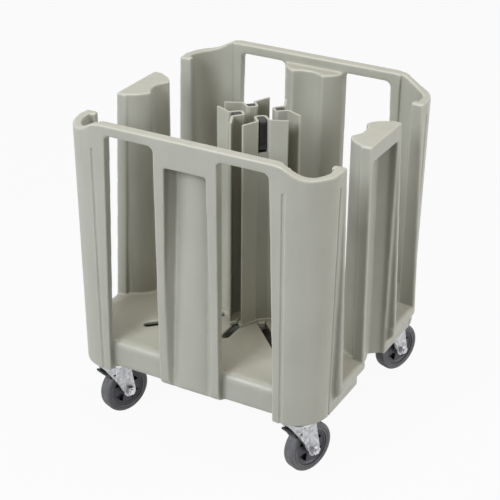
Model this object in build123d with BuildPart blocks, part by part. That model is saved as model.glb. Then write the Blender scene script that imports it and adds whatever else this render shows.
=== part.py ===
from build123d import *
from math import cos, pi, radians, sin, sqrt
import os

# Dish caddy on swivel casters. Sizes are in millimetres.
# X runs along the front face, Y towards the back, Z up from the floor. Everything is drawn about the middle of the
# body. The saved origin is the middle of the overall box, because the rear wheels stand out behind the body.
os.makedirs("parts", exist_ok=True)

# Casters
wheel_radius = 63.5
tyre_width = 31.0
tread_edge = 7.0
tyre_seam_radius = 1.2
tyre_seam_rise = 5.0
rim_radius = 47.0
rim_thickness = 5.0
rim_setback = 2.0          # the rim is this much narrower than the tyre on each side
hub_radius = 15.0
hub_half = 19.5
hub_bevel = 3.0
web_half = 11.0
web_fillet = 3.0
web_core = 2.0             # half of what is left between the pockets of the two sides
pocket_count = 4
pocket_turn = 45.0         # degrees from the rear of the wheel to the first pocket
pocket_start = 19.5
pocket_start_half = 5.0
pocket_end = 35.0
pocket_end_half = 15.0
axle_radius = 6.0
axle_head_radius = 11.0
axle_head_height = 7.0
axle_nut_radius = 11.5
axle_nut_height = 9.0
axle_stub = 12.0           # how far the axle ends beyond the fork
trail = 34.0
caster_inset_x = 76.3      # side face to swivel axis
caster_inset_y = 68.7      # front face to swivel axis
caster_heading = -20.6     # degrees the axles are turned from X in the pose of the photograph
plate_thickness = 4.5
plate_length = 92.0
plate_width = 68.0
plate_corner = 12.0
bolt_spacing_x = 70.0
bolt_spacing_y = 44.0
bolt_radius = 4.0
bolt_head_radius = 7.5
bolt_head_height = 5.0
bolt_depth = 22.0
bolt_tip_room = 1.0
race_radius = 22.0
race_outer = 30.0
race_height = 6.0
race_taper = 12.0
race_gap = 3.0
ball_radius = 3.0
balls_per_race = 16
crown_radius = 34.0
crown_thickness = 6.0
crown_edge = 2.0
crown_room = 19.5          # top of the wheel to the crown
fork_gauge = 4.0
leg_inner = 20.5
tyre_clearance = 4.0
leg_end_radius = 17.0
leg_front = 22.0
skirt_radius = 33.5
skirt_end = 8.0            # the front skirt of the fork wraps round to here
kingpin_radius = 8.0
kingpin_head_radius = 13.0
kingpin_head_height = 2.5
kingpin_nut_radius = 14.0
nut_height = 7.0
nut_gap = 0.1
pedal_pivot_y = -14.0
pedal_rise = 1.0           # top of the wheel to the pedal's pivot
pedal_pin_radius = 2.5
pedal_pin_end = 1.0
pedal_barrel_radius = 5.0
pedal_half = 14.0
pedal_reach = 22.0
pedal_plate = 5.0
pedal_lift = 9.0
shoe_length = 18.0
shoe_width = 7.0

# Driving sizes of the moulded body
half_length = 333.0        # middle to side face, at the column tops
half_width = 327.0         # middle to front face, at the column tops
base_height = 75.5
column_height = 541.5
rail_rise = 27.5
rail_thickness = 27.0
rail_foot_inset = 31.0     # side face to the place where the rail starts to rise
rail_flat_inset = 119.0    # side face to the place where it is level
outer_lean = 8.5 / 600.0   # the outer faces lean in this much per millimetre going down
corner_radius = 92.0
wall = 20.0
deck_thickness = 12.0
floor_skin = 6.0
crease_radius = 4.0
crease_drop = 35.0         # column top to the top of a crease

# Windows in the front and back walls
window_inner = 80.6        # middle of the front to a window
corner_wall_top = 126.7    # side face to the window, at its top
corner_wall_low = 113.3    # and at the deck
window_lintel = 25.5
window_corner = 13.0
thick_wall_margin = 12.0   # the thick wall of the rails runs on this far beside the windows
skirt_setback = 29.0
deck_edge_radius = 20.0
skirt_foot_radius = 14.0

# Gaps in the two sides
post_half = 85.0
corner_wall_side = 122.0   # front face to the gap
gap_depth = 65.0
lip_reach = 12.0           # how far the gap lips stand out from the side face at the deck
lip_depth = 28.0
lip_thickness = 12.0
lip_edge = 3.0
lip_shift = 14.0           # the post lips are this much further apart at the deck
lip_shoulder = 12.0
lip_foot_rise = 23.0       # height over the body's bottom where the lips have curved back into the skirt
lip_step = 0.6
sill_overlap = 2.0
sill_depth = 33.0
bead_thickness = 31.0      # corner walls end in a thicker bead
bead_width = 20.0
bead_edge = 4.0

# Posts in the middle of each side, and columns in the middle of the front and the back
side_post_depth = 70.4
centre_column_depth = 64.4
post_tip_half = 40.8
tip_hollow = 15.4
flank_step = 36.4
flank_narrowing = 6.5
groove_drop = 42.0         # column top to the top of a groove
groove_depth = 44.0
groove_crown_depth = 32.0
groove_lip_depth = 20.0
groove_lip_step = 6.0
groove_corner_share = 0.68
side_groove_half = 73.0
side_groove_half_low = 84.0
front_groove_half = 58.0
front_groove_half_low = 70.0
groove_shallowing = 22.0   # the front grooves are this much shallower at their low end
column_foot_radius = 28.0

# Hollow base
underside_inset_x = 61.0
underside_inset_y = 55.0
block_reach = 54.0         # swivel axis to the near sides of the solid corner that carries a caster

# Slots in the deck, measured from the middle
slot_width = 20.0
diagonal_slot_start = 32.0
diagonal_slot_margin = 4.7
straight_slot_start = 70.0
straight_slot_end = 156.0

# Divider towers, measured outwards from the middle along a diagonal with the tower pushed fully in
tower_angles = {"back_right": 45, "back_left": 135, "front_left": 225, "front_right": 315}
tower_parks = {"back_right": 15.0, "back_left": 0.0, "front_left": 2.0, "front_right": 0.0}
tower_height = 531.0
tower_gauge = 6.0
channel_back = 30.0
channel_depth = 30.0
channel_half = 12.0
mouth_spread = 2.0
wing_rise = 15.0
wing_half = 53.0
fold_radius = 6.0
front_wall_gauge = 6.0
front_wall_proud = 2.0
foot_height = 8.0
foot_edge = 2.5
foot_corner = 4.0
foot_margin = 6.0
foot_back_margin = 8.0
foot_back_half = 18.0
foot_toe = 22.0
foot_front_half = 12.0
key_setback = 4.0
key_length = 40.0
key_clearance = 0.3
key_bottom_room = 1.0
rod_setback = 14.5         # back of the channel to the rod
rod_radius = 3.0
rod_head_height = 5.0
rod_head_radius = 6.5
rod_grip = 30.0            # length of the rod inside the handle
rod_tip_bevel = 0.5
handle_length = 73.0
handle_drop = 1.0
handle_setback = 3.0
handle_clearance = 0.3
handle_edge = 1.5
handle_travel = 4.0
handle_room = 2.0
grip_depth = 2.5
grip_margin = 3.0
grip_end = 12.0
thumb_bevel = 5.0
clamp_thickness = 6.0
clamp_width = 44.0
clamp_length = 46.0
clamp_corner = 6.0
clamp_bevel = 1.5
clamp_clearance = 0.3
running_clearance = 0.05
seat_clearance = 0.2

# Lock spring of a tower
spring_wire = 0.9
spring_radius = 6.2
spring_pitch = 4.4
spring_turns = 6
collar_radius = 8.0
collar_height = 4.0

# Heights, stacked up from the floor, and sizes that follow from the faces
wheel_height = wheel_radius
crown_bottom = wheel_height + wheel_radius + crown_room
crown_top = crown_bottom + crown_thickness
race_bottom = crown_top + race_gap
plate_top = race_bottom + race_height + plate_thickness
body_bottom = plate_top
deck_top = body_bottom + base_height
column_top = deck_top + column_height
rail_top = column_top + rail_rise
tower_top = deck_top + tower_height
window_top = rail_top - window_lintel
window_outer_top = half_length - corner_wall_top
window_outer_low = half_length - corner_wall_low
window_middle = (window_inner + window_outer_low) / 2
gap_outer = half_width - corner_wall_side
gap_middle = (post_half + gap_outer) / 2
lip_out = half_length + lip_reach
caster_x = half_length - caster_inset_x
caster_y = half_width - caster_inset_y
beyond = half_length + half_width
sides = (-1, 1)
corner_names = {(-1, -1): "front_left", (1, -1): "front_right", (-1, 1): "back_left", (1, 1): "back_right"}
column_angles = {"right": 0, "back": 90, "left": 180, "front": 270}


def lean(height):
    """How far an outer face has leaned in at this height."""
    return outer_lean * (column_top - height)


def outward_plane(angle, height=0.0):
    """Level plane whose x axis points outwards at this angle."""
    outward = (cos(radians(angle)), sin(radians(angle)), 0)
    return Plane(origin=(0, 0, height), x_dir=outward, z_dir=(0, 0, 1))


# Middle of the overall box, from the front rail to the tread of the rear wheels
front_reach = half_width - lean(rail_top)
tread_reach = ((wheel_radius - tread_edge) * cos(radians(caster_heading))
               + (tyre_width / 2 - tread_edge) * abs(sin(radians(caster_heading))) + tread_edge)
rear_reach = caster_y + trail * cos(radians(caster_heading)) + tread_reach
to_box_middle = Location((0, (front_reach - rear_reach) / 2, 0))


def save(part, name):
    """Label one sub-part, place it about the saved origin and write it out."""
    placed = part.moved(to_box_middle)
    placed.label = name
    export_step(placed, f"parts/{name}.step")


# Moulded body: outside, leaning in towards the floor
with BuildPart() as outside:
    for height in (body_bottom, rail_top):
        inset = lean(height)
        with BuildSketch(Plane.XY.offset(height)):
            RectangleRounded(2 * (half_length - inset), 2 * (half_width - inset), corner_radius - inset)
    loft()


def column_plan(face, depth):
    """Plan of a post, x outwards: bowed flanks run in to two tips with a shallow hollow between them."""
    tip = face - depth
    flank = (tip + flank_step, post_half - flank_narrowing)
    with BuildSketch() as plan:
        with BuildLine():
            Line((beyond, -post_half), (face, -post_half))
            ThreePointArc((face, -post_half), (flank[0], -flank[1]), (tip, -post_tip_half))
            ThreePointArc((tip, -post_tip_half), (tip + tip_hollow, 0), (tip, post_tip_half))
            ThreePointArc((tip, post_tip_half), flank, (face, post_half))
            Line((face, post_half), (beyond, post_half))
            Line((beyond, post_half), (beyond, -post_half))
        make_face()
    return plan.sketch


def groove_plan(face, half, shallower=0.0):
    """Plan of the groove in the outer face of a post, x outwards; its floor bows out in the middle."""
    lip = (face - groove_lip_depth + shallower, half - groove_lip_step)
    corner = (face - groove_depth + shallower, groove_corner_share * half)
    crown = (face - groove_crown_depth + shallower, 0)
    with BuildSketch() as plan:
        with BuildLine():
            Polyline((beyond, -half), (lip[0], -lip[1]), (corner[0], -corner[1]))
            ThreePointArc((corner[0], -corner[1]), crown, corner)
            Polyline(corner, lip, (beyond, half))
            Line((beyond, half), (beyond, -half))
        make_face()
    return plan.sketch


# Space inside the walls, less everything that stands in from the walls
with BuildPart() as inside:
    for height in (deck_top, rail_top + 1):
        inset = lean(height) + wall
        with BuildSketch(Plane.XY.offset(height)):
            RectangleRounded(2 * (half_length - inset), 2 * (half_width - inset), corner_radius - inset)
    loft()
    for name, angle in column_angles.items():
        on_side = name in ("left", "right")
        with BuildSketch(outward_plane(angle, deck_top)):
            if on_side:
                add(column_plan(half_length, side_post_depth))
            else:
                add(column_plan(half_width, centre_column_depth))
        extrude(amount=column_height, mode=Mode.SUBTRACT)
    with BuildSketch(Plane.XY.offset(deck_top)):
        with Locations((0, -half_width), (0, half_width)):
            Rectangle(2 * (window_outer_low + thick_wall_margin), 2 * rail_thickness)
    extrude(amount=rail_top - deck_top + 2, mode=Mode.SUBTRACT)
    bead_place = gap_outer + bead_width / 2 - 1
    with BuildSketch(Plane.XY.offset(deck_top)):
        for sx in sides:
            with Locations((sx * half_length, -bead_place), (sx * half_length, bead_place)):
                RectangleRounded(2 * bead_thickness, bead_width, bead_edge)
    extrude(amount=column_height + 1, mode=Mode.SUBTRACT)

# Lips beside the gaps: flush at the top, standing out more and more towards the deck
with BuildPart() as lips:
    for sx in sides:
        for sy in sides:
            corner_lip = sy * (gap_outer + lip_thickness / 2)
            post_lip = sy * (post_half - lip_thickness / 2)
            for top_y, low_y in ((corner_lip, corner_lip), (post_lip, post_lip + sy * lip_shift)):
                with BuildSketch(Plane.XY.offset(column_top)):
                    with Locations((sx * (half_length - lip_depth / 2), top_y)):
                        RectangleRounded(lip_depth, lip_thickness, lip_edge)
                with BuildSketch(Plane.XY.offset(deck_top - lip_shoulder)):
                    with Locations((sx * (lip_out - lip_depth / 2), low_y)):
                        RectangleRounded(lip_depth, lip_thickness, lip_edge)
                loft()

# Sill under each gap, curving back into the skirt below
lip_foot = body_bottom + lip_foot_rise
skirt_face = half_length - lean(lip_foot) + lip_step
sill_back = half_length - sill_depth
sill_out = lip_out + lip_step
sill_start = post_half - sill_overlap
sill_end = gap_outer + lip_thickness - sill_overlap / 2
with BuildPart() as sills:
    for angle in (column_angles["right"], column_angles["left"]):
        outward = outward_plane(angle)
        for sy in sides:
            sill_middle = sy * (sill_start + sill_end) / 2
            upright = Plane(origin=outward.from_local_coords((0, sill_middle, 0)), x_dir=outward.x_dir,
                            z_dir=-outward.y_dir)
            with BuildSketch(upright):
                with BuildLine():
                    Line((sill_back, deck_top), (sill_out - lip_shoulder, deck_top))
                    RadiusArc((sill_out - lip_shoulder, deck_top), (sill_out, deck_top - lip_shoulder), lip_shoulder)
                    Spline((sill_out, deck_top - lip_shoulder), (skirt_face, lip_foot), tangents=((0, -1), (0, -1)))
                    Polyline((skirt_face, lip_foot), (skirt_face, body_bottom), (sill_back, body_bottom),
                             (sill_back, deck_top))
                make_face()
            extrude(amount=(sill_end - sill_start) / 2, both=True)

# Front outline: the rails rise from the corner columns in an S
rail_foot = half_length - rail_foot_inset
rail_flat = half_length - rail_flat_inset
with BuildPart() as front_outline:
    with BuildSketch(Plane.XZ):
        with BuildLine():
            Polyline((-rail_foot, column_top), (-beyond, column_top), (-beyond, 0), (beyond, 0),
                     (beyond, column_top), (rail_foot, column_top))
            Spline((rail_foot, column_top), (rail_flat, rail_top), tangents=((-1, 0), (-1, 0)))
            Line((rail_flat, rail_top), (-rail_flat, rail_top))
            Spline((-rail_flat, rail_top), (-rail_foot, column_top), tangents=((-1, 0), (-1, 0)))
        make_face()
    extrude(amount=beyond, both=True)


def round_edge(edge_y, edge_z, inward_y, inward_z, radius):
    """Section across X of the material that rounding a square edge takes away."""
    with BuildSketch() as section:
        with Locations((edge_y + inward_y * (radius - 1) / 2, edge_z + inward_z * (radius - 1) / 2)):
            Rectangle(radius + 1, radius + 1)
        with Locations((edge_y + inward_y * radius, edge_z + inward_z * radius)):
            Circle(radius, mode=Mode.SUBTRACT)
    return section.sketch


# Whole moulding in one piece
skirt_front = half_width - skirt_setback
groove_top = column_top - groove_drop
block_x = caster_x - block_reach
block_y = caster_y - block_reach
diagonal_slot_end = sqrt(2) * min(block_x, block_y) - diagonal_slot_margin
with BuildPart() as body:
    add(outside.part)
    add(inside.part, mode=Mode.SUBTRACT)
    # Side gaps, open at the top
    with BuildSketch(Plane.XY.offset(deck_top)):
        for sx in sides:
            with Locations((sx * half_length, -gap_middle), (sx * half_length, gap_middle)):
                Rectangle(2 * gap_depth, gap_outer - post_half)
    extrude(amount=rail_top - deck_top + 2, mode=Mode.SUBTRACT)
    add(lips.part)
    add(sills.part)
    add(front_outline.part, mode=Mode.INTERSECT)
    # Windows, and the skirt set back below them
    for face in sides:
        for sx in sides:
            with BuildSketch(Plane.XZ.offset(-face * half_width)) as window:
                with BuildLine():
                    Polyline((sx * window_inner, deck_top), (sx * window_inner, window_top),
                             (sx * window_outer_top, window_top), (sx * window_outer_low, deck_top), close=True)
                make_face()
                fillet(window.vertices().group_by(Axis.Y)[-1], window_corner)
            extrude(amount=3 * wall, both=True, mode=Mode.SUBTRACT)
            window_span = window_outer_low - window_inner
            with BuildSketch(Plane.XY.offset(body_bottom)):
                with Locations((sx * window_middle, face * half_width)):
                    Rectangle(window_span, 2 * skirt_setback)
            extrude(amount=base_height, mode=Mode.SUBTRACT)
            with BuildSketch(Plane.YZ.offset(sx * window_middle)):
                add(round_edge(face * skirt_front, deck_top, -face, -1, deck_edge_radius))
                add(round_edge(face * skirt_front, body_bottom, -face, 1, skirt_foot_radius))
            extrude(amount=window_span / 2, both=True, mode=Mode.SUBTRACT)
        # Rounded foot of the centre column
        with BuildSketch(Plane.YZ):
            add(round_edge(face * (half_width - lean(body_bottom)), body_bottom, -face, 1, column_foot_radius))
        extrude(amount=window_inner, both=True, mode=Mode.SUBTRACT)
    # Grooves in the outer faces of the posts, running out at the bottom
    for name, angle in column_angles.items():
        on_side = name in ("left", "right")
        top_half = side_groove_half if on_side else front_groove_half
        low_half = side_groove_half_low if on_side else front_groove_half_low
        shallower = 0 if on_side else groove_shallowing
        face = half_length if on_side else half_width
        with BuildSketch(outward_plane(angle, body_bottom - 1)):
            add(groove_plan(face, low_half, shallower))
        with BuildSketch(outward_plane(angle, groove_top)):
            add(groove_plan(face, top_half))
        loft(mode=Mode.SUBTRACT)
    # Creases where the corner curves meet the flat faces
    crease_foot = body_bottom - crease_radius - 1
    crease_top = column_top - crease_drop
    for sx in sides:
        for sy in sides:
            for x_top, y_top, dx, dy in ((half_length - corner_radius, half_width, 0, 1),
                                         (half_length, half_width - corner_radius, 1, 0)):
                low = lean(crease_foot)
                high = lean(crease_top)
                foot_point = (sx * (x_top - dx * low), sy * (y_top - dy * low), crease_foot)
                top_point = (sx * (x_top - dx * high), sy * (y_top - dy * high), crease_top)
                with BuildLine() as crease:
                    Line(foot_point, top_point)
                with BuildSketch(Plane(origin=foot_point, z_dir=crease.line % 0)):
                    Circle(crease_radius)
                sweep(path=crease.line, mode=Mode.SUBTRACT)
    # Closed hollow under the deck, with solid corners left for the casters
    underside_x = half_length - underside_inset_x
    underside_y = half_width - underside_inset_y
    with BuildSketch(Plane.XY.offset(body_bottom + floor_skin)):
        Rectangle(2 * underside_x, 2 * underside_y)
        for sx in sides:
            with Locations((sx * underside_x, -underside_y), (sx * underside_x, underside_y)):
                Rectangle(2 * (underside_x - block_x), 2 * (underside_y - block_y), mode=Mode.SUBTRACT)
    extrude(amount=base_height - deck_thickness - floor_skin, mode=Mode.SUBTRACT)
    # Slots through the deck
    for angle in range(0, 360, 90):
        for turn, start, end in ((45, diagonal_slot_start, diagonal_slot_end),
                                 (0, straight_slot_start, straight_slot_end)):
            with BuildSketch(outward_plane(angle + turn, deck_top - deck_thickness - 1)):
                with Locations(((start + end) / 2, 0)):
                    SlotOverall(end - start, slot_width)
            extrude(amount=deck_thickness + 1, mode=Mode.SUBTRACT)
    # Holes for the caster bolts
    with BuildSketch(Plane.XY.offset(body_bottom)):
        for sx in sides:
            with Locations((sx * caster_x, -caster_y), (sx * caster_x, caster_y)):
                with GridLocations(bolt_spacing_x, bolt_spacing_y, 2, 2):
                    Circle(bolt_radius + running_clearance)
    extrude(amount=bolt_depth, mode=Mode.SUBTRACT)


def body_block(x_range, y_range, z_range):
    """The part of the moulding inside one box."""
    with BuildPart() as block:
        add(body.part)
        with Locations((sum(x_range) / 2, sum(y_range) / 2, sum(z_range) / 2)):
            Box(x_range[1] - x_range[0], y_range[1] - y_range[0], z_range[1] - z_range[0], mode=Mode.INTERSECT)
    return block.part


everywhere = (-beyond, beyond)
save(body_block(everywhere, everywhere, (0, deck_top)), "base_tray")
for (sx, sy), name in corner_names.items():
    x_range = sorted((sx * window_middle, sx * beyond))
    y_range = sorted((sy * gap_middle, sy * beyond))
    save(body_block(x_range, y_range, (deck_top, column_top)), f"corner_column_{name}")
for name, angle in column_angles.items():
    if name in ("left", "right"):
        x_range = sorted((0, beyond * cos(radians(angle))))
        save(body_block(x_range, (-gap_middle, gap_middle), (deck_top, column_top)), f"side_post_{name}")
    else:
        y_range = sorted((0, beyond * sin(radians(angle))))
        save(body_block((-window_middle, window_middle), y_range, (deck_top, column_top)), f"centre_column_{name}")
save(body_block(everywhere, (-beyond, 0), (column_top, rail_top + 1)), "top_rail_front")
save(body_block(everywhere, (0, beyond), (column_top, rail_top + 1)), "top_rail_back")


# Divider towers, drawn with their outward direction along X; each is turned onto its own diagonal
foot_base = deck_top + running_clearance
foot_top = foot_base + foot_height
channel_mouth = channel_back + channel_depth
wing_reach = channel_mouth + wing_rise
key_start = channel_back + key_setback
key_middle = key_start + key_length / 2
rod_place = channel_back + rod_setback
handle_base = tower_top - handle_drop - handle_length
front_wall_top = handle_base - handle_travel - handle_room

# Upright: one folded sheet with a channel at the back and two wings, closed in front below the handle
with BuildPart() as upright:
    with BuildSketch(Plane.XY.offset(foot_top)):
        with BuildLine():
            FilletPolyline((wing_reach, -wing_half), (channel_mouth, -channel_half - mouth_spread),
                           (channel_back, -channel_half), (channel_back, channel_half),
                           (channel_mouth, channel_half + mouth_spread), (wing_reach, wing_half),
                           radius=fold_radius)
            offset(amount=tower_gauge / 2, side=Side.BOTH)
        make_face()
    extrude(amount=tower_top - foot_top)
    with BuildSketch(Plane.XY.offset(foot_top)):
        with Locations((channel_mouth + front_wall_proud - front_wall_gauge / 2, 0)):
            Rectangle(front_wall_gauge, 2 * (channel_half + mouth_spread) - 1)
    extrude(amount=front_wall_top - foot_top)

# Foot: a chevron under the sheet, with a key that runs in the slot
with BuildPart() as foot:
    with BuildSketch(Plane.XY.offset(foot_base)) as chevron:
        toe_front = wing_reach + foot_margin
        toe_half = wing_half + foot_margin
        heel = channel_back - foot_back_margin
        with BuildLine():
            Polyline((toe_front, -toe_half), (toe_front - foot_toe, -toe_half), (heel, -foot_back_half),
                     (heel, foot_back_half), (toe_front - foot_toe, toe_half), (toe_front, toe_half),
                     (channel_mouth + foot_margin, foot_front_half), (channel_mouth + foot_margin, -foot_front_half),
                     close=True)
        make_face()
        fillet(chevron.vertices(), foot_corner)
    extrude(amount=foot_height)
    fillet(foot.faces().sort_by(Axis.Z)[-1].edges(), foot_edge)
    with BuildSketch(Plane.XY.offset(foot_base)):
        with Locations((key_middle, 0)):
            SlotOverall(key_length, slot_width - 2 * key_clearance)
    extrude(amount=-(deck_thickness - key_bottom_room))
    with Locations((rod_place, 0, foot_top)):
        Hole(rod_radius + running_clearance)

# Clamp plate under the deck
clamp_top = deck_top - deck_thickness - clamp_clearance
clamp_bottom = clamp_top - clamp_thickness
with BuildPart() as clamp:
    with BuildSketch(Plane.XY.offset(clamp_bottom)):
        with Locations((key_middle, 0)):
            RectangleRounded(clamp_length, clamp_width, clamp_corner)
        with Locations((rod_place, 0)):
            Circle(rod_radius + running_clearance, mode=Mode.SUBTRACT)
    extrude(amount=clamp_thickness)
    chamfer(clamp.faces().sort_by(Axis.Z)[0].outer_wire().edges(), clamp_bevel)

# Lock spring between the foot and the collar of the rod
spring_base = foot_top + spring_wire + seat_clearance
spring_height = spring_pitch * spring_turns


def spring_point(turns):
    """Point on the centre line of the spring and its direction there, this many turns up."""
    angle = 2 * pi * turns
    point = Vector(spring_radius * cos(angle), spring_radius * sin(angle), spring_base + spring_pitch * turns)
    direction = Vector(-2 * pi * spring_radius * sin(angle), 2 * pi * spring_radius * cos(angle), spring_pitch)
    return point, direction.normalized()


with BuildPart() as spring:
    with BuildLine() as coil:
        for quarter in range(4 * spring_turns):
            start, start_direction = spring_point(quarter / 4)
            end, end_direction = spring_point((quarter + 1) / 4)
            chord = end - start
            both = start_direction + end_direction
            spread = 2 * (1 - start_direction.dot(end_direction))
            reach = (sqrt(chord.dot(both) ** 2 + spread * chord.dot(chord)) - chord.dot(both)) / spread
            joint = (start + end + (start_direction - end_direction) * reach) / 2
            TangentArc(start, joint, tangent=start_direction)
            TangentArc(joint, end, tangent=chord - both * reach)
    with BuildSketch(Plane(origin=spring_point(0)[0], z_dir=spring_point(0)[1])):
        Circle(spring_wire)
    sweep()
samples_per_turn = 24
coil_samples = [spring_point(step / samples_per_turn)[0] for step in range(samples_per_turn * spring_turns + 1)]
coil_gap = min((upper - lower).length for index, lower in enumerate(coil_samples)
               for upper in coil_samples[index + samples_per_turn // 2:]) - 2 * spring_wire
print("least gap of the lock spring to itself", round(coil_gap, 2), "mm")

# Rod from below the clamp plate up into the handle
collar_base = spring_base + spring_height + spring_wire + seat_clearance
rod_bottom = clamp_bottom - rod_head_height
with BuildPart() as rod:
    with BuildSketch(Plane.XY.offset(rod_bottom)):
        RegularPolygon(rod_head_radius, 6)
    extrude(amount=rod_head_height - running_clearance)
    with BuildSketch(Plane.XY.offset(rod_bottom)):
        Circle(rod_radius)
    extrude(amount=handle_base + rod_grip - rod_bottom)
    with BuildSketch(Plane.XY.offset(collar_base)):
        Circle(collar_radius)
    extrude(amount=collar_height)
    chamfer(rod.edges().filter_by(GeomType.CIRCLE).sort_by(Axis.Z)[-1], rod_tip_bevel)

# Release handle: a block in the mouth of the channel with a shallow grip in its front
handle_back = channel_back + tower_gauge / 2 + handle_clearance
handle_front = channel_mouth - handle_setback
handle_half = channel_half - tower_gauge / 2 - handle_clearance
with BuildPart() as handle:
    with BuildSketch(Plane.XY.offset(handle_base)):
        with Locations(((handle_back + handle_front) / 2, 0)):
            RectangleRounded(handle_front - handle_back, 2 * handle_half, handle_edge)
    extrude(amount=handle_length)
    handle_top = handle_base + handle_length
    with BuildSketch(Plane.XZ):
        with BuildLine():
            Polyline((handle_front + 1, handle_top + 1), (handle_front - thumb_bevel - 1, handle_top + 1),
                     (handle_front + 1, handle_top - thumb_bevel - 1), close=True)
        make_face()
    extrude(amount=handle_half + 1, both=True, mode=Mode.SUBTRACT)
    with BuildSketch(Plane.XY.offset(handle_base + grip_end)):
        with Locations((handle_front, 0)):
            Rectangle(2 * grip_depth, 2 * (handle_half - grip_margin))
    extrude(amount=handle_length - 2 * grip_end, mode=Mode.SUBTRACT)
    with BuildSketch(Plane.XY.offset(handle_base)):
        with Locations((rod_place, 0)):
            Circle(rod_radius + running_clearance)
    extrude(amount=rod_grip + running_clearance, mode=Mode.SUBTRACT)

for name, angle in tower_angles.items():
    parked = Location((0, 0, 0), (0, 0, angle)) * Location((tower_parks[name], 0, 0))
    at_rod = Location((rod_place, 0, 0))
    save(upright.part.moved(parked), f"tower_upright_{name}")
    save(foot.part.moved(parked), f"tower_foot_{name}")
    save(clamp.part.moved(parked), f"clamp_plate_{name}")
    save(handle.part.moved(parked), f"release_handle_{name}")
    save(spring.part.moved(parked * at_rod), f"lock_spring_{name}")
    save(rod.part.moved(parked * at_rod), f"lock_rod_{name}")

# Casters, drawn with the swivel axis on Z and the axle along X
ball_height = crown_top + race_gap / 2


def race_groove():
    """Ring that the balls run in, with running clearance."""
    with BuildPart() as groove:
        with BuildSketch(Plane.XZ):
            with Locations((race_radius, ball_height)):
                Circle(ball_radius + running_clearance)
        revolve(axis=Axis.Z)
    return groove.part


# Top plate with the upper race
with BuildPart() as top_plate:
    with BuildSketch(Plane.XY.offset(plate_top - plate_thickness)):
        RectangleRounded(plate_length, plate_width, plate_corner)
        with GridLocations(bolt_spacing_x, bolt_spacing_y, 2, 2):
            Circle(bolt_radius + running_clearance, mode=Mode.SUBTRACT)
    extrude(amount=plate_thickness)
    with BuildSketch(Plane.XY.offset(plate_top - plate_thickness)):
        Circle(race_outer)
    extrude(amount=-race_height, taper=race_taper)
    add(race_groove(), mode=Mode.SUBTRACT)
    with Locations((0, 0, plate_top)):
        CounterBoreHole(kingpin_radius, kingpin_head_radius + running_clearance, kingpin_head_height)

# Kingpin with its nut under the crown
with BuildPart() as kingpin:
    with BuildSketch(Plane.XY.offset(plate_top)):
        Circle(kingpin_head_radius)
    extrude(amount=-kingpin_head_height)
    with BuildSketch(Plane.XY.offset(plate_top)):
        Circle(kingpin_radius)
    extrude(amount=-(plate_top - crown_bottom + nut_gap + nut_height))
    with BuildSketch(Plane.XY.offset(crown_bottom - nut_gap)):
        RegularPolygon(kingpin_nut_radius, 6)
    extrude(amount=-nut_height)

# Balls between the races
with BuildPart() as balls:
    with Locations((0, 0, ball_height)):
        with PolarLocations(race_radius, balls_per_race):
            Sphere(ball_radius)

# Fork: crown, a skirt wrapped round its front, and two legs running down to the axle
pedal_pivot_z = wheel_height + wheel_radius + pedal_rise
leg_middle = leg_inner + fork_gauge / 2
leg_outer = leg_inner + fork_gauge
leg_bottom = wheel_height - leg_end_radius
leg_length = trail + leg_end_radius + leg_front
with BuildPart() as fork:
    with BuildSketch(Plane.XY.offset(leg_bottom)):
        Circle(skirt_radius)
        Circle(skirt_radius - fork_gauge, mode=Mode.SUBTRACT)
        with Locations((0, skirt_end + crown_radius)):
            Rectangle(2 * crown_radius + 2, 2 * crown_radius, mode=Mode.SUBTRACT)
        with Locations((-leg_middle, leg_length / 2 - leg_front), (leg_middle, leg_length / 2 - leg_front)):
            Rectangle(fork_gauge, leg_length)
    extrude(amount=crown_bottom + 1 - leg_bottom)
    # Side outline of the skirt and the legs
    leg_front_foot = (trail - 0.7 * leg_end_radius, wheel_height - 0.5 * leg_end_radius)
    leg_back_foot = (trail + leg_end_radius, wheel_height + 2)
    with BuildSketch(Plane.YZ):
        with Locations((trail, wheel_height)):
            Circle(leg_end_radius)
        with BuildLine():
            Polyline(leg_front_foot, (-crown_radius, crown_bottom), (-crown_radius, crown_bottom + 2),
                     (crown_radius, crown_bottom + 2), (crown_radius + fork_gauge, crown_bottom - 3 * fork_gauge),
                     leg_back_foot, close=True)
        make_face()
    extrude(amount=crown_radius + 1, both=True, mode=Mode.INTERSECT)
    # Crown
    with BuildSketch(Plane.XY.offset(crown_bottom)):
        Circle(crown_radius)
    extrude(amount=crown_thickness)
    fillet(fork.faces().sort_by(Axis.Z)[-1].edges(), crown_edge)
    # Room for the wheel, holes for the axle and the kingpin
    with BuildSketch(Plane.YZ):
        with Locations((trail, wheel_height)):
            Circle(wheel_radius + tyre_clearance)
    extrude(amount=leg_inner, both=True, mode=Mode.SUBTRACT)
    with BuildSketch(Plane.YZ):
        with Locations((trail, wheel_height)):
            Circle(axle_radius + running_clearance)
    extrude(amount=crown_radius + 1, both=True, mode=Mode.SUBTRACT)
    with BuildSketch(Plane.XY.offset(crown_bottom)):
        Circle(kingpin_radius + running_clearance)
    extrude(amount=crown_thickness, mode=Mode.SUBTRACT)
    add(race_groove(), mode=Mode.SUBTRACT)

# Fork of a caster with a brake: the same, with holes for the pins of the pedal
with BuildPart() as brake_fork:
    add(fork.part)
    with BuildSketch(Plane.YZ):
        with Locations((pedal_pivot_y, pedal_pivot_z)):
            Circle(pedal_pin_radius + running_clearance)
    extrude(amount=crown_radius + 1, both=True, mode=Mode.SUBTRACT)

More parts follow.
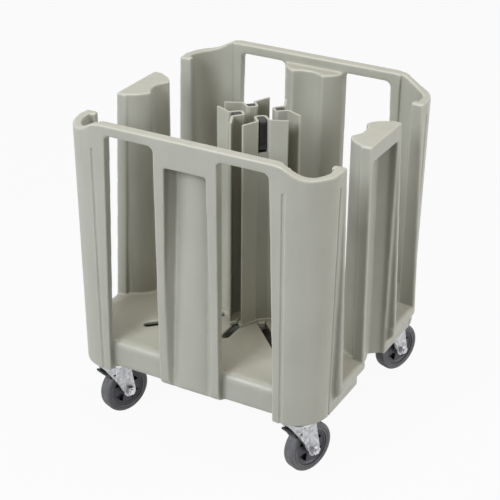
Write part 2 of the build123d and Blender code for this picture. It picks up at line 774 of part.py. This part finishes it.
# Wheel core with spoke pockets on both sides
rim_half = tyre_width / 2 - rim_setback
with BuildPart() as core:
    with BuildSketch(Plane.XY) as core_profile:
        with BuildLine():
            Polyline((0, axle_radius + running_clearance), (hub_half, axle_radius + running_clearance),
                     (hub_half, hub_radius - hub_bevel), (hub_half - hub_bevel, hub_radius),
                     (web_half, hub_radius + web_fillet), (web_half, rim_radius - rim_thickness - web_fillet),
                     (rim_half, rim_radius - rim_thickness), (rim_half, rim_radius), (0, rim_radius), close=True)
        make_face()
        mirror(about=Plane.YZ)
    revolve(axis=Axis.X)
    for side in sides:
        with BuildSketch(Plane.YZ.offset(side * web_half)):
            with PolarLocations(0, pocket_count, start_angle=pocket_turn):
                Polygon((pocket_start, -pocket_start_half), (pocket_end, -pocket_end_half),
                        (pocket_end, pocket_end_half), (pocket_start, pocket_start_half), align=None)
        extrude(amount=-side * (web_half - web_core), mode=Mode.SUBTRACT)

# Tyre
with BuildPart() as tyre:
    with BuildSketch(Plane.XY) as tyre_profile:
        with Locations((0, (rim_radius + wheel_radius) / 2)):
            Rectangle(tyre_width, wheel_radius - rim_radius)
        fillet(tyre_profile.vertices().group_by(Axis.Y)[-1], tread_edge)
        for side in sides:
            with Locations((side * tyre_width / 2, rim_radius + tyre_seam_rise)):
                Circle(tyre_seam_radius, mode=Mode.SUBTRACT)
    revolve(axis=Axis.X)

# Axle bolt and its nut
with BuildPart() as axle:
    with BuildSketch(Plane.YZ.offset(-leg_outer)):
        RegularPolygon(axle_head_radius, 6)
    extrude(amount=-axle_head_height)
    with BuildSketch(Plane.YZ.offset(-leg_outer)):
        Circle(axle_radius)
    extrude(amount=2 * leg_outer + axle_stub)
    with BuildSketch(Plane.YZ.offset(leg_outer)):
        RegularPolygon(axle_nut_radius, 6)
        Circle(axle_radius + running_clearance, mode=Mode.SUBTRACT)
    extrude(amount=axle_nut_height)

# Brake pedal: a barrel on pins in the fork, a tread plate in front and a shoe hanging towards the tyre
with BuildPart() as pedal:
    with BuildSketch(Plane.YZ.offset(-pedal_half)):
        Circle(pedal_barrel_radius)
        plate_root = pedal_barrel_radius - 1
        plate_low = plate_root - pedal_plate
        with BuildLine():
            Polyline((0, pedal_barrel_radius), (-pedal_barrel_radius, plate_root), (-pedal_reach / 2, plate_root),
                     (-pedal_reach, pedal_lift), (-pedal_reach - 1, pedal_lift - pedal_plate),
                     (-pedal_reach / 2 - 1, plate_low), (1 - pedal_barrel_radius, plate_low - 2), close=True)
        make_face()
        with BuildLine():
            Polyline((-pedal_barrel_radius, -1), (4 - shoe_width, -shoe_length), (4, 2 - shoe_length),
                     (pedal_barrel_radius, -1), close=True)
        make_face()
    extrude(amount=2 * pedal_half)
    with BuildSketch(Plane.YZ):
        Circle(pedal_pin_radius)
    extrude(amount=leg_outer + pedal_pin_end, both=True)

# Bolts that hold one top plate
with BuildPart() as bolts:
    with BuildSketch(Plane.XY.offset(plate_top - plate_thickness)):
        with GridLocations(bolt_spacing_x, bolt_spacing_y, 2, 2):
            RegularPolygon(bolt_head_radius, 6)
    extrude(amount=-bolt_head_height)
    with BuildSketch(Plane.XY.offset(plate_top - plate_thickness)):
        with GridLocations(bolt_spacing_x, bolt_spacing_y, 2, 2):
            Circle(bolt_radius)
    extrude(amount=plate_thickness + bolt_depth - bolt_tip_room)

at_axle = Location((0, trail, wheel_height))
at_pivot = Location((0, pedal_pivot_y, pedal_pivot_z))
fixed_groups = {"swivel_kingpins": kingpin, "swivel_balls": balls, "caster_bolts": bolts}
grouped = {group: [] for group in fixed_groups}
for (sx, sy), name in corner_names.items():
    place = Location((sx * caster_x, sy * caster_y, 0))
    turned = place * Location((0, 0, 0), (0, 0, caster_heading))
    in_front = sy < 0
    this_fork = brake_fork if in_front else fork
    save(top_plate.part.moved(place), f"caster_plate_{name}")
    save(this_fork.part.moved(turned), f"caster_fork_{name}")
    save(core.part.moved(turned * at_axle), f"wheel_core_{name}")
    save(tyre.part.moved(turned * at_axle), f"tyre_{name}")
    save(axle.part.moved(turned * at_axle), f"axle_bolt_{name}")
    if in_front:
        save(pedal.part.moved(turned * at_pivot), f"brake_pedal_{name}")
    for group, piece in fixed_groups.items():
        grouped[group] += piece.part.moved(place).solids()
for group, solids in grouped.items():
    save(Compound(solids), group)
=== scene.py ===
from math import cos, radians, sin

import bmesh
import bpy
import numpy as np
from mathutils import Matrix, Vector


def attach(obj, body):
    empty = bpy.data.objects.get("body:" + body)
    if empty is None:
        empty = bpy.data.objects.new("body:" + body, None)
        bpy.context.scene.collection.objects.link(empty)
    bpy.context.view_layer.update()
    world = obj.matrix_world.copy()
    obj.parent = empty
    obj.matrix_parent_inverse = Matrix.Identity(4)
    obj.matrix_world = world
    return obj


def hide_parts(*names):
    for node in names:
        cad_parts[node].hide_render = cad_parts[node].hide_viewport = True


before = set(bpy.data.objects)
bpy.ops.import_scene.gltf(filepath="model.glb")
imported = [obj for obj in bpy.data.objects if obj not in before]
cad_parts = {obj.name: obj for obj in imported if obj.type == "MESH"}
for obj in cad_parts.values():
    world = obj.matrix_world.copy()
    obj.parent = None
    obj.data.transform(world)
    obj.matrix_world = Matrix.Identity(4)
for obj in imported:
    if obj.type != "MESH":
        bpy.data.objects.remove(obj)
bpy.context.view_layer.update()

# Lengths are in metres and angles in degrees
corners = ("front_left", "front_right", "back_left", "back_right")
body_nodes = ["base_tray"] + ["corner_column_" + corner for corner in corners] + [
    "side_post_left",
    "side_post_right",
    "centre_column_front",
    "centre_column_back",
    "top_rail_front",
    "top_rail_back",
]

# Camera of the photograph
camera_azimuth = 28.55
camera_elevation = 27.44
camera_roll = 0.53
camera_distance = 3.5181
camera_target = Vector((-0.02512, 0.009623, 0.3915))
camera_reach = 50
focal_pixels = 1423.2
frame_pixels = 500
sensor_width = 36.0

# Moulding
voxel = 0.002
smoothing_rounds = 26
smoothing_factor = 0.5
seam_overlap = 0.002
foot_reach = 0.0001
weld_distance = 0.00001

# Creases of the moulding: their plan distances from the middle of the body, and what is kept sharp beside them
body_middle_y = -0.0128
crease_x = 0.241
crease_y = 0.235
crease_reach = 0.008
crease_softness = 0.12

# Rounded edges of the separate parts
tower_edge = 0.002
metal_edge = 0.0006
bevel_segments = 3
bevel_angle = 35

# Colours
body_colour = (0.45, 0.447, 0.38)
tower_colour = (0.41, 0.406, 0.34)
# Share of each colour channel kept in the painted shade of the moulding's corners and slots
painted_shade_share = (0.4, 0.385, 0.33)
handle_dark = (0.006, 0.006, 0.006)
handle_light = (0.016, 0.016, 0.016)
handle_worn = (0.06, 0.06, 0.06)
zinc_colour = (0.6, 0.61, 0.63)
bright_colour = (0.75, 0.75, 0.77)
# Painted shade in the corners and slots of the steel parts
steel_shade = (0.03, 0.03, 0.032)
steel_worn = (0.86, 0.86, 0.87)
wheel_dark = (0.027, 0.025, 0.035)
wheel_light = (0.05, 0.046, 0.062)
# Painted shade in the wheel's pockets and corners
wheel_shade = (0.004, 0.004, 0.005)
wheel_worn = (0.3, 0.29, 0.33)
tyre_dark = (0.1, 0.1, 0.106)
tyre_light = (0.15, 0.15, 0.154)
tyre_dust = (0.23, 0.23, 0.225)

# Studio: each softbox has its place, the point that it faces, its side, its power in watts and its colour
softboxes = {
    "key": ((-1.3, -4.5, 3.6), (0, 0, 0.5), 2.2, 235, (0.9, 0.935, 1.0)),
    "top": ((0.1, -0.2, 3.6), (0, 0, 0.4), 1.8, 46, (1.0, 0.955, 0.87)),
    "fill": ((3.3, 0.8, 1.1), (0, 0, 0.4), 2.0, 55, (0.98, 0.975, 1.0)),
}
world_strength = 0.2
floor_side = 14
floor_divisions = 4
floor_shade = 0.42
floor_roughness = 0.9
floor_glow = 0.94
white = (1, 1, 1, 1)


def new_material(name):
    """A material with its node tree and its main shader."""
    material = bpy.data.materials.new(name)
    material.use_nodes = True
    tree = material.node_tree
    return material, tree, tree.nodes["Principled BSDF"]


def noise(tree, scale, detail, stretch=(1, 1, 1)):
    """Value of a noise pattern in the piece's own place, with scale in features per metre."""
    place = tree.nodes.new("ShaderNodeTexCoord")
    spread = tree.nodes.new("ShaderNodeMapping")
    spread.inputs["Scale"].default_value = stretch
    pattern = tree.nodes.new("ShaderNodeTexNoise")
    pattern.inputs["Scale"].default_value = scale
    pattern.inputs["Detail"].default_value = detail
    tree.links.new(place.outputs["Object"], spread.inputs["Vector"])
    tree.links.new(spread.outputs["Vector"], pattern.inputs["Vector"])
    return pattern.outputs["Fac"]


def span(tree, value, low, high, out_low=0.0, out_high=1.0):
    """The value stretched from low..high to out_low..out_high, and clamped there."""
    node = tree.nodes.new("ShaderNodeMapRange")
    node.inputs["From Min"].default_value = low
    node.inputs["From Max"].default_value = high
    node.inputs["To Min"].default_value = out_low
    node.inputs["To Max"].default_value = out_high
    tree.links.new(value, node.inputs["Value"])
    return node.outputs["Result"]


def blend_colours(tree, factor, first, second):
    """A mix of two colours; each is a plain colour or another node's output."""
    node = tree.nodes.new("ShaderNodeMix")
    node.data_type = "RGBA"
    tree.links.new(factor, node.inputs["Factor"])
    for socket, colour in ((node.inputs[6], first), (node.inputs[7], second)):
        if isinstance(colour, tuple):
            socket.default_value = (*colour, 1)
        else:
            tree.links.new(colour, socket)
    return node.outputs[2]


def tint(tree, base, mask, amount, colour):
    """The base, taken this far towards the colour where the mask is 1."""
    return blend_colours(tree, span(tree, mask, 0, 1, 0, amount), base, colour)


def uneven_roughness(tree, shader, pattern, low, high):
    """A roughness that wanders between low and high with the pattern."""
    tree.links.new(span(tree, pattern, 0.3, 0.7, low, high), shader.inputs["Roughness"])


def bumps(tree, shader, *layers):
    """Stacks bump layers, each a height pattern and its depth."""
    normal = None
    for height, depth in layers:
        node = tree.nodes.new("ShaderNodeBump")
        node.inputs["Distance"].default_value = depth
        tree.links.new(height, node.inputs["Height"])
        if normal is not None:
            tree.links.new(normal, node.inputs["Normal"])
        normal = node.outputs["Normal"]
    tree.links.new(normal, shader.inputs["Normal"])


def worn_and_lit_edges(tree, low=0.51, high=0.58):
    """1 on the sharp outward edges and 0 elsewhere: where wear is painted, and on moulded plastic a painted
    highlight.
    """
    geometry = tree.nodes.new("ShaderNodeNewGeometry")
    return span(tree, geometry.outputs["Pointiness"], low, high)


def crevices(tree, reach):
    """1 deep in corners, slots and pockets and 0 in the open: an ambient occlusion mask for painting shade
    there.
    """
    shade = tree.nodes.new("ShaderNodeAmbientOcclusion")
    shade.samples = 8
    shade.inputs["Distance"].default_value = reach
    return span(tree, shade.outputs["AO"], low=0.25, high=0.9, out_low=1, out_high=0)


def scaled(colour, share):
    """The colour made darker or paler by one factor."""
    return tuple(part * share for part in colour)


def moulded_plastic(name, colour):
    """Satin moulded plastic: a pebble grain, faint flow streaks, a painted highlight on the edges and painted
    shade in the corners.
    """
    material, tree, shader = new_material(name)
    corner_shade_colour = tuple(part * share for part, share in zip(colour, painted_shade_share))
    clouds = span(tree, noise(tree, scale=9, detail=4), low=0.3, high=0.7)
    base = blend_colours(tree, clouds, scaled(colour, 0.93), colour)
    streak_pattern = noise(tree, scale=30, detail=3, stretch=(1, 1, 0.08))
    streaks = span(tree, streak_pattern, low=0.45, high=0.75, out_high=0.5)
    base = blend_colours(tree, streaks, base, scaled(colour, 1.05))
    # Painted shade in corners, slots and creases
    base = tint(tree, base, crevices(tree, reach=0.15), 0.6, corner_shade_colour)
    # Paler rims: a painted highlight along the sharp edges
    base = tint(tree, base, worn_and_lit_edges(tree, low=0.505, high=0.545), 0.7, scaled(colour, 1.35))
    tree.links.new(base, shader.inputs["Base Color"])
    uneven_roughness(tree, shader, noise(tree, scale=55, detail=4), low=0.32, high=0.46)
    grain = noise(tree, scale=900, detail=2)
    waves = noise(tree, scale=14, detail=2, stretch=(1, 1, 0.35))
    bumps(tree, shader, (waves, 0.004), (grain, 0.00012))
    return material


def black_plastic():
    """Matte black handle plastic with a fine sparkle grain."""
    material, tree, shader = new_material("black_plastic_look")
    clouds = span(tree, noise(tree, scale=60, detail=4), low=0.35, high=0.7)
    base = blend_colours(tree, clouds, handle_dark, handle_light)
    base = tint(tree, base, worn_and_lit_edges(tree), 0.5, handle_worn)
    tree.links.new(base, shader.inputs["Base Color"])
    uneven_roughness(tree, shader, noise(tree, scale=300, detail=3), low=0.5, high=0.66)
    bumps(tree, shader, (noise(tree, scale=1500, detail=2), 0.00008))
    return material


def plated_steel(name, colour, low, high):
    """Plated sheet steel with soft spangle and rolling lines, its roughness between low and high."""
    material, tree, shader = new_material(name)
    shader.inputs["Metallic"].default_value = 1.0
    spangle = span(tree, noise(tree, scale=120, detail=5), low=0.35, high=0.65)
    base = blend_colours(tree, spangle, scaled(colour, 0.55), colour)
    # Painted shade in corners and slots
    base = tint(tree, base, crevices(tree, reach=0.02), 0.9, steel_shade)
    base = tint(tree, base, worn_and_lit_edges(tree), 0.6, steel_worn)
    tree.links.new(base, shader.inputs["Base Color"])
    uneven_roughness(tree, shader, noise(tree, scale=180, detail=4, stretch=(1, 1, 6)), low, high)
    dents = noise(tree, scale=90, detail=2)
    rolling_lines = noise(tree, scale=1600, detail=2, stretch=(1, 1, 4))
    bumps(tree, shader, (dents, 0.0006), (rolling_lines, 0.00004))
    return material


def wheel_plastic():
    """Dark violet-grey wheel centre with a fine moulded grain."""
    material, tree, shader = new_material("wheel_plastic_look")
    clouds = span(tree, noise(tree, scale=50, detail=4), low=0.3, high=0.7)
    base = blend_colours(tree, clouds, wheel_dark, wheel_light)
    # Painted shade in the pockets and corners of the wheel
    base = blend_colours(tree, crevices(tree, reach=0.012), base, wheel_shade)
    base = tint(tree, base, worn_and_lit_edges(tree), 0.6, wheel_worn)
    tree.links.new(base, shader.inputs["Base Color"])
    uneven_roughness(tree, shader, noise(tree, scale=240, detail=3), low=0.34, high=0.5)
    bumps(tree, shader, (noise(tree, scale=1300, detail=2), 0.0001))
    return material


def tyre_rubber():
    """Grey rubber, a little dusty on the tread."""
    material, tree, shader = new_material("tyre_rubber_look")
    clouds = span(tree, noise(tree, scale=45, detail=5), low=0.3, high=0.72)
    base = blend_colours(tree, clouds, tyre_dark, tyre_light)
    dust = span(tree, noise(tree, scale=320, detail=3), low=0.5, high=0.8, out_high=0.5)
    base = blend_colours(tree, dust, base, tyre_dust)
    tree.links.new(base, shader.inputs["Base Color"])
    uneven_roughness(tree, shader, noise(tree, scale=150, detail=3), low=0.5, high=0.68)
    scuffs = noise(tree, scale=60, detail=2)
    grain = noise(tree, scale=1100, detail=3)
    bumps(tree, shader, (scuffs, 0.0008), (grain, 0.00015))
    return material


def dress(names, material):
    """Gives CAD nodes this material."""
    for name in names:
        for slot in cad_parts[name].material_slots:
            slot.material = material


def soften(names, width):
    """Rounds the edges of CAD nodes with a small bevel."""
    for name in names:
        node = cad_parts[name]
        weld = node.modifiers.new("weld", "WELD")
        weld.merge_threshold = weld_distance
        bevel = node.modifiers.new("bevel", "BEVEL")
        bevel.width = width
        bevel.segments = bevel_segments
        bevel.limit_method = "ANGLE"
        bevel.angle_limit = radians(bevel_angle)
        bevel.use_clamp_overlap = True


def apply_modifiers(obj):
    """Replaces an object's mesh by what its modifiers make of it."""
    bpy.context.view_layer.update()
    evaluated = obj.evaluated_get(bpy.context.evaluated_depsgraph_get())
    shaped = bpy.data.meshes.new_from_object(evaluated)
    obj.modifiers.clear()
    obj.data = shaped


def mark_soft(obj, group_name):
    """A vertex group that weighs little beside the creases and fully everywhere else."""
    places = np.empty(3 * len(obj.data.vertices))
    obj.data.vertices.foreach_get("co", places)
    across = np.abs(places[0::3])
    along = np.abs(places[1::3] - body_middle_y)
    front = (np.abs(across - crease_x) < crease_reach) & (along > crease_y + crease_reach)
    side = (np.abs(along - crease_y) < crease_reach) & (across > crease_x + crease_reach)
    beside = front | side
    group = obj.vertex_groups.new(name=group_name)
    group.add(np.flatnonzero(~beside).tolist(), 1.0, "REPLACE")
    group.add(np.flatnonzero(beside).tolist(), crease_softness, "REPLACE")


def sink_foot(vertices):
    """Lowers the lowest vertices of a block, so that it overlaps the block that it stands on."""
    foot_height = min(vertex.co.z for vertex in vertices)
    for vertex in vertices:
        if vertex.co.z < foot_height + foot_reach:
            vertex.co.z -= seam_overlap


def join_blocks(mesh_name):
    """One mesh of all the blocks of the moulding."""
    joined = bmesh.new()
    for name in body_nodes:
        first = len(joined.verts)
        joined.from_mesh(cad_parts[name].data)
        joined.verts.ensure_lookup_table()
        if name != "base_tray":
            sink_foot(joined.verts[first:])
    bmesh.ops.remove_doubles(joined, verts=joined.verts, dist=weld_distance)
    mesh = bpy.data.meshes.new(mesh_name)
    joined.to_mesh(mesh)
    joined.free()
    return mesh


def make_moulding():
    """One continuous skin over the blocks of the moulding, with the soft edges of the real thing."""
    moulding = bpy.data.objects.new("caddy_moulding", join_blocks("caddy_moulding"))
    bpy.context.scene.collection.objects.link(moulding)
    remesh = moulding.modifiers.new("remesh", "REMESH")
    remesh.mode = "VOXEL"
    remesh.voxel_size = voxel
    apply_modifiers(moulding)
    mark_soft(moulding, "soft")
    smooth = moulding.modifiers.new("smooth", "SMOOTH")
    smooth.vertex_group = "soft"
    smooth.factor = smoothing_factor
    smooth.iterations = smoothing_rounds
    apply_modifiers(moulding)
    moulding.data.shade_smooth()
    return moulding


def add_softbox(name, place, target, side, power, colour):
    """A square area light that faces the target."""
    data = bpy.data.lights.new(name, "AREA")
    data.shape = "SQUARE"
    data.size = side
    data.energy = power
    data.color = colour
    light = bpy.data.objects.new(name, data)
    bpy.context.scene.collection.objects.link(light)
    light.location = place
    light.rotation_euler = (Vector(target) - Vector(place)).to_track_quat("-Z", "Y").to_euler()


def seen_directly(tree):
    """1 for rays from the camera, mirror rays and see-through rays, 0 for light falling on surfaces."""
    path = tree.nodes.new("ShaderNodeLightPath")
    total = path.outputs["Is Camera Ray"]
    for name in ("Is Glossy Ray", "Is Transmission Ray"):
        add = tree.nodes.new("ShaderNodeMath")
        add.operation = "ADD"
        add.use_clamp = True
        tree.links.new(total, add.inputs[0])
        tree.links.new(path.outputs[name], add.inputs[1])
        total = add.outputs[0]
    return total


def make_world():
    """Even studio light, with a white background where it is looked at."""
    world = bpy.data.worlds.new("studio")
    bpy.context.scene.world = world
    world.use_nodes = True
    tree = world.node_tree
    background = tree.nodes["Background"]
    background.inputs["Color"].default_value = white
    strength = span(tree, seen_directly(tree), 0, 1, world_strength, 1.0)
    tree.links.new(strength, background.inputs["Strength"])


def make_floor():
    """White floor that keeps a faint shadow of the object."""
    bpy.ops.mesh.primitive_grid_add(
        size=floor_side, x_subdivisions=floor_divisions, y_subdivisions=floor_divisions
    )
    floor = bpy.context.object
    floor.name = "studio_floor"
    material, tree, shader = new_material("studio_floor_look")
    shader.inputs["Base Color"].default_value = (floor_shade, floor_shade, floor_shade, 1)
    shader.inputs["Roughness"].default_value = floor_roughness
    glow = tree.nodes.new("ShaderNodeEmission")
    glow.inputs["Color"].default_value = white
    mixed = tree.nodes.new("ShaderNodeMixShader")
    tree.links.new(span(tree, seen_directly(tree), 0, 1, 0, floor_glow), mixed.inputs["Fac"])
    tree.links.new(shader.outputs["BSDF"], mixed.inputs[1])
    tree.links.new(glow.outputs["Emission"], mixed.inputs[2])
    tree.links.new(mixed.outputs["Shader"], tree.nodes["Material Output"].inputs["Surface"])
    floor.data.materials.append(material)


def make_camera():
    """Camera at the photograph's viewpoint."""
    azimuth = radians(camera_azimuth)
    elevation = radians(camera_elevation)
    roll = radians(camera_roll)
    back = Vector((sin(azimuth) * cos(elevation), -cos(azimuth) * cos(elevation), sin(elevation)))
    level_right = Vector((cos(azimuth), sin(azimuth), 0))
    level_up = back.cross(level_right)
    right = cos(roll) * level_right + sin(roll) * level_up
    up = cos(roll) * level_up - sin(roll) * level_right
    data = bpy.data.cameras.new("photo_camera")
    data.sensor_width = sensor_width
    data.lens = sensor_width * focal_pixels / frame_pixels
    data.clip_end = camera_reach
    camera = bpy.data.objects.new("photo_camera", data)
    bpy.context.scene.collection.objects.link(camera)
    turn = Matrix((right, up, back)).transposed().to_4x4()
    camera.matrix_world = Matrix.Translation(camera_target + back * camera_distance) @ turn
    bpy.context.scene.camera = camera


body_look = moulded_plastic("body_plastic_look", body_colour)
tower_look = moulded_plastic("tower_plastic_look", tower_colour)
black_look = black_plastic()
zinc_look = plated_steel("zinc_steel_look", zinc_colour, low=0.28, high=0.48)
bright_look = plated_steel("bright_steel_look", bright_colour, low=0.16, high=0.3)
wheel_look = wheel_plastic()
tyre_look = tyre_rubber()

moulding = make_moulding()
moulding.data.materials.clear()
moulding.data.materials.append(body_look)
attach(moulding, "caddy_body")
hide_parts(*body_nodes)

for corner in corners:
    dress(["tower_upright_" + corner, "tower_foot_" + corner], tower_look)
    soften(["tower_upright_" + corner], tower_edge)
    dress(["release_handle_" + corner], black_look)
    dress(["lock_rod_" + corner, "clamp_plate_" + corner], zinc_look)
    dress(["lock_spring_" + corner, "axle_bolt_" + corner], bright_look)
    dress(["caster_plate_" + corner, "caster_fork_" + corner], zinc_look)
    dress(["wheel_core_" + corner], wheel_look)
    dress(["tyre_" + corner], tyre_look)
    soften(["caster_fork_" + corner, "axle_bolt_" + corner, "wheel_core_" + corner], metal_edge)
dress(["swivel_kingpins", "swivel_balls", "caster_bolts"], bright_look)
dress(["brake_pedal_front_left", "brake_pedal_front_right"], black_look)

bpy.context.scene.view_settings.view_transform = "Standard"
make_world()
make_floor()
make_camera()
for name, settings in softboxes.items():
    add_softbox(name, *settings)
